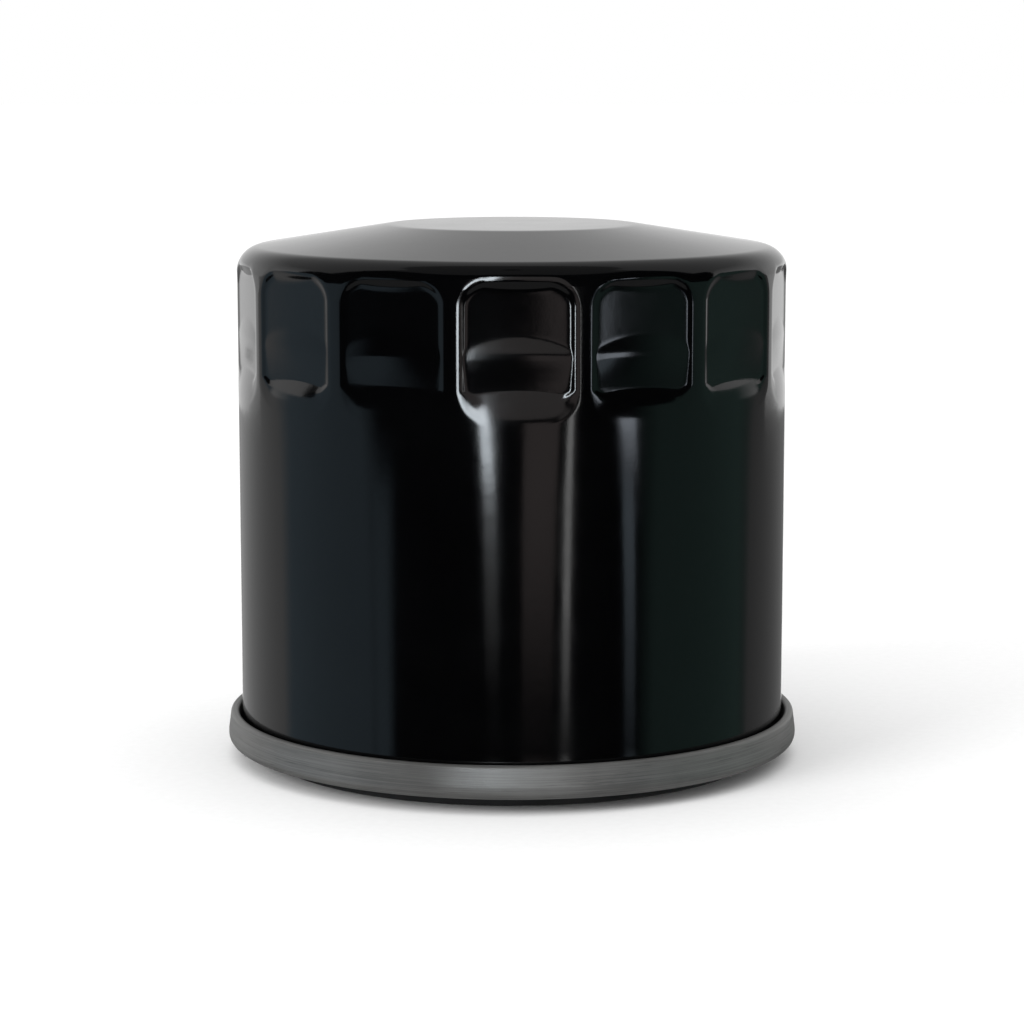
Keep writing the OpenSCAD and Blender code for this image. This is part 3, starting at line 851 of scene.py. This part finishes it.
def paper_material():
    """Resin-cured filter paper: felted fibres, darker resin patches and a fine emboss."""
    n = Nodes("filter_paper")
    here = n.place()
    fibre = n.noise(here, 3800, 6, 0.75)
    patch = n.noise(here, 210, 4, 0.6)
    tilt = n.add("Mapping", {"Vector": here, "Scale": (9000, 9000, 1500)}).outputs[0]
    strand = n.noise(tilt, 1.0, 3, 0.6)
    mixed = n.math("ADD", n.math("MULTIPLY", fibre, 0.45), n.math("MULTIPLY", patch, 0.55))
    normal = n.bump(fibre, 0.6, 0.00006)
    normal = n.bump(strand, 0.4, 0.00004, normal)
    return n.set(
        Base_Color=n.blend(mixed, (0.42, 0.25, 0.08), (0.66, 0.46, 0.2), 0.36, 0.62),
        Roughness=n.span(patch, 0.78, 0.92, 0.3, 0.7), Specular_IOR_Level=0.25, Normal=normal,
    )


def cast_material(name, low, high, rough, grain, depth):
    """Cured adhesive or sealing compound: a skinned surface with pits, bubbles and a soft sheen."""
    n = Nodes(name)
    here = n.place()
    cloud = n.noise(here, grain * 0.12, 5, 0.6)
    pits = n.add("TexVoronoi", {"Vector": here, "Scale": grain}).outputs["Distance"]
    swell = n.noise(here, grain * 0.4, 3)
    normal = n.bump(n.span(pits, 0, 1, 0.05, 0.3), 0.35, depth)
    normal = n.bump(swell, 0.5, depth * 2, normal)
    return n.set(
        Base_Color=n.blend(cloud, low, high, 0.3, 0.7), Roughness=n.span(cloud, rough, rough + 0.2, 0.3, 0.7),
        Specular_IOR_Level=0.45, Normal=normal,
    )


def coat(obj, material):
    """Gives a piece its one material."""
    obj.data.materials.clear()
    obj.data.materials.append(material)
    return obj


def fit(piece, body, node, material):
    """Puts a detailed piece in place of a CAD node."""
    coat(piece, material)
    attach(piece, body)
    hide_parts(node)
    return piece


paint = paint_material()
zinc = plated_material()
nitrile = rubber_material()

fit(make_can(), "housing", "canister", paint)
fit(make_lid(), "housing", "seaming_lid", zinc)
fit(make_gasket(), "housing", "sealing_gasket", nitrile)

plate_steel = steel_material("turned_plate_steel", (0.3, 0.3, 0.31), 0.34, stain=0.45)
cap_steel = steel_material("tinned_cap_steel", (0.62, 0.6, 0.55), 0.26, stain=0.6)
tube_steel = steel_material("rolled_tube_steel", (0.5, 0.5, 0.52), 0.3, along=240, up=300, stain=0.55)
valve_steel = steel_material("pressed_valve_steel", (0.58, 0.54, 0.42), 0.3, stain=0.6)
spring_steel = steel_material("phosphated_spring_steel", (0.11, 0.11, 0.115), 0.38, 0.75, 260, 900, 900, 0.5)
valve_rubber = rubber_material("moulded_valve_rubber", (0.02, 0.018, 0.017), 0.48)
paper = paper_material()
adhesive = cast_material("cured_adhesive", (0.35, 0.12, 0.03), (0.5, 0.21, 0.06), 0.32, 900, 0.00008)
compound = cast_material("sealing_compound", (0.12, 0.035, 0.02), (0.2, 0.06, 0.03), 0.4, 1400, 0.00005)

LOWER_FACE = extent("lower_end_cap")[1]
UPPER_FACE = extent("upper_end_cap")[2]

fit(make_sealant(), "housing", "seam_sealant", compound)
fit(make_plate(), "housing", "thread_plate", plate_steel)
element_coil = fit(coil("element_coil", "element_spring", 0.8, 13.6, 12.0, 2.5),
                   "housing", "element_spring", spring_steel)
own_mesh(element_coil)
diaphragm = fit(make_drainback_valve(), "drainback_valve", "anti_drainback_valve",
                valve_rubber)
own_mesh(diaphragm)
for make, name, node, face, up, slot, finish in (
    (end_cap, "lower_cup", "lower_end_cap", LOWER_FACE, 1, "cap_steel", cap_steel),
    (end_cap, "upper_cup", "upper_end_cap", UPPER_FACE, -1, "cap_steel", cap_steel),
    (potting, "lower_adhesive", "lower_potting", LOWER_FACE + CAP_T, 1, "potting", adhesive),
    (potting, "upper_adhesive", "upper_potting", UPPER_FACE - CAP_T, -1, "potting", adhesive),
):
    fit(make(name, node, face, up), "element", node, finish)
for node, make, slot, finish in (
    ("pleated_media", make_media, "filter_paper", paper),
    ("media_seam_clip", make_seam_clip, "cap_steel", cap_steel),
    ("center_tube", make_tube, "tube_steel", tube_steel),
    ("bypass_valve_housing", make_housing, "valve_steel", valve_steel),
    ("bypass_valve_cage", make_cage, "valve_steel", valve_steel),
):
    fit(make(), "element", node, finish)
relief_coil = fit(coil("relief_coil", "bypass_valve_spring", 0.4, 4.6, 4.6, 2.25),
                  "element", "bypass_valve_spring", spring_steel)
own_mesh(relief_coil)
fit(make_seal(), "bypass_valve", "bypass_valve_seal", nitrile)
fit(make_disc(), "bypass_valve", "bypass_valve_disc", valve_steel)
fit(make_stem(), "bypass_valve", "bypass_valve_stem", plate_steel)

# ---------------------------------------------------------------- stage, lights and camera

scene = bpy.context.scene
scene.view_settings.view_transform = "Standard"
MIDDLE_Z = 35


def emitter(name, strength, tone, fade, middle, half, soft):
    """Light of an even strength, or one that falls to nothing between two heights. A soft card also thins out
    to clear over its last few degrees on both sides."""
    n = Nodes(name)
    n.tree.nodes.remove(n.shader)
    glow = n.add("Emission", {"Color": (*tone, 1), "Strength": strength})
    split = n.add("SeparateXYZ", {0: n.place()}).outputs
    out = n.tree.nodes["Material Output"].inputs["Surface"]
    if fade:
        n.put(glow.inputs["Strength"], n.span(split[2], 0, strength, fade[0] * MM, fade[1] * MM))
    if soft:
        turn = n.math("ARCTAN2", split[0], n.math("MULTIPLY", split[1], -1))
        off = n.math("ABSOLUTE", n.math("SUBTRACT", turn, math.radians(middle)))
        inside = n.math("SUBTRACT", math.radians(half), off)
        clear = n.add("BsdfTransparent")
        mixed = n.add("MixShader", {"Fac": n.span(inside, 0, 1, 0, math.radians(soft))})
        n.put(mixed.inputs[1], clear.outputs[0])
        n.put(mixed.inputs[2], glow.outputs[0])
        n.tree.links.new(mixed.outputs[0], out)
    else:
        n.tree.links.new(glow.outputs[0], out)
    return n.material


def card(name, azimuth, width, low, high, strength, tone=(1, 1, 1), fade=None, distance=1400, soft=0):
    """A glowing curved card seen only in reflections. Azimuth 0 is behind the camera and grows to the right;
    low and high are angles above the can's middle, all in degrees. Its light goes from nothing to full
    between the two angles of fade, and it thins out sideways over soft degrees."""
    steps = 24

    def height(angle):
        return MIDDLE_Z + distance * math.tan(math.radians(angle))

    vertices, faces = [], []
    for k in range(steps + 1):
        a = math.radians(azimuth - width / 2 + width * k / steps)
        for angle in (low, high):
            vertices.append((math.sin(a) * distance, -math.cos(a) * distance, height(angle)))
    for k in range(steps):
        faces.append((2 * k, 2 * k + 2, 2 * k + 3, 2 * k + 1))
    obj = mesh_object(name, vertices, faces)
    fade = fade and [height(angle) for angle in fade]
    coat(obj, emitter(name, strength, tone, fade, azimuth, width / 2, soft))
    obj.visible_camera = obj.visible_diffuse = obj.visible_shadow = False
    return obj


def area_light(name, place, aim, size, power):
    """A square lamp that leaves no reflection."""
    data = bpy.data.lights.new(name, "AREA")
    data.shape = "SQUARE"
    data.size = size
    data.energy = power
    obj = bpy.data.objects.new(name, data)
    obj.location = place
    direction = np.array(aim, float) - np.array(place, float)
    obj.rotation_euler = (math.atan2(math.hypot(direction[0], direction[1]), -direction[2]), 0,
                          math.atan2(direction[0], -direction[1]) + math.pi)
    obj.visible_glossy = False
    scene.collection.objects.link(obj)
    return obj


def make_stage():
    """A pale floor that is clear from below, and a sky that is white to the eye but dark in reflections."""
    far, under = 4000, -0.1
    floor_mesh = mesh_object("studio_floor", [(-far, -far, under), (far, -far, under), (far, far, under),
                                              (-far, far, under)], [(0, 1, 2, 3)])
    n = Nodes("studio_paper")
    tone = n.blend(n.noise(n.place(), 900, 3), (0.955, 0.955, 0.955), (0.975, 0.975, 0.975))
    coat(floor_mesh, n.set(Base_Color=tone, Roughness=0.9, Specular_IOR_Level=0.0))
    see_through = n.add("MixShader", {"Fac": n.add("NewGeometry").outputs["Backfacing"]})
    n.put(see_through.inputs[1], n.shader.outputs[0])
    n.put(see_through.inputs[2], n.add("BsdfTransparent").outputs[0])
    n.tree.links.new(see_through.outputs[0], n.tree.nodes["Material Output"].inputs["Surface"])
    floor_mesh.visible_glossy = False
    world = bpy.data.worlds.new("studio")
    scene.world = world
    world.use_nodes = True
    nodes, links = world.node_tree.nodes, world.node_tree.links
    path = nodes.new("ShaderNodeLightPath")
    lit = nodes.new("ShaderNodeMix")
    seen = nodes.new("ShaderNodeMix")
    lit.data_type = seen.data_type = "RGBA"
    lit.inputs["A"].default_value = (0.005, 0.005, 0.005, 1)
    lit.inputs["B"].default_value = (0.75, 0.75, 0.75, 1)
    seen.inputs["B"].default_value = (1, 1, 1, 1)
    links.new(path.outputs["Is Diffuse Ray"], lit.inputs["Factor"])
    links.new(lit.outputs["Result"], seen.inputs["A"])
    links.new(path.outputs["Is Camera Ray"], seen.inputs["Factor"])
    links.new(seen.outputs["Result"], nodes["Background"].inputs["Color"])


make_stage()
sky = bpy.data.lights.new("overhead_key", "SUN")
sky.energy = 1.0
sky.angle = math.radians(100)
sky_lamp = bpy.data.objects.new("overhead_key", sky)
sky_lamp.visible_glossy = False
scene.collection.objects.link(sky_lamp)
area_light("front_fill", (-1.2, -1.0, 0.7), (0, 0, 0.03), 0.8, 13)
card("back_wall", 180, 160, 2, 42, 0.8, fade=(46, 12), distance=1900)
card("back_low", 180, 28, -26, 2, 1.0, distance=1900)
card("back_mid", 180, 104, -6.2, 2, 0.9, distance=1880)
card("left_rear", -133, 76, -26, 2, 0.46, distance=1900, soft=10)
card("left_bank", -82, 56, -26, 6, 0.33, (0.72, 0.95, 1.12), soft=6)
card("left_low", -54, 11, -26, -6.9, 0.33, (0.72, 0.95, 1.12), distance=1390, soft=3.5)
card("right_bank", 84, 64, -26, 9, 0.18, (0.6, 1.0, 0.9), soft=8)
card("right_rear", 139, 62, -26, 2, 0.21, distance=1900, soft=8)
card("strip_left", -7.5, 4.5, -6.8, 42, 17, (0.86, 0.94, 1.0), distance=1380)
card("strip_left_foot", -7.5, 5, -13, -6.8, 0.5, fade=(-12, -9.5))
card("brown_left", 10, 12, -15, 0, 0.5, (1.0, 0.86, 0.84), fade=(-13, -8.5))
card("brown_over", 2, 36, 3, 42, 0.5, (1.0, 0.92, 0.9), distance=1420)
card("strip_mid", 21.5, 3, -16, 12, 3.2, fade=(-13.5, -9))
card("strip_right", 49.4, 4.4, -16, -7, 1.0, (0.8, 0.97, 1.12), fade=(-14.5, -7.5))
card("strip_right_top", 50.4, 5, -6.2, 1, 3.6, (0.85, 0.93, 1.05))
card("overhead", 0, 360, 60, 88, 0.14)
card("overhead_back", 180, 180, 34, 66, 0.36, distance=1380)
card("ground_glow", 0, 360, -84, -30, 0.2)

FOCAL_LENGTH = 3.061816  # in picture widths
CAMERA_TILT = 9.305  # degrees below level
camera_data = bpy.data.cameras.new("photo_camera")
camera_data.lens = FOCAL_LENGTH * camera_data.sensor_width
camera_data.shift_y = 0.0412
camera = bpy.data.objects.new("photo_camera", camera_data)
camera.location = (0, -0.3891, 0.0886)
camera.rotation_euler = (math.radians(90 - CAMERA_TILT), 0, 0)
scene.collection.objects.link(camera)
scene.camera = camera
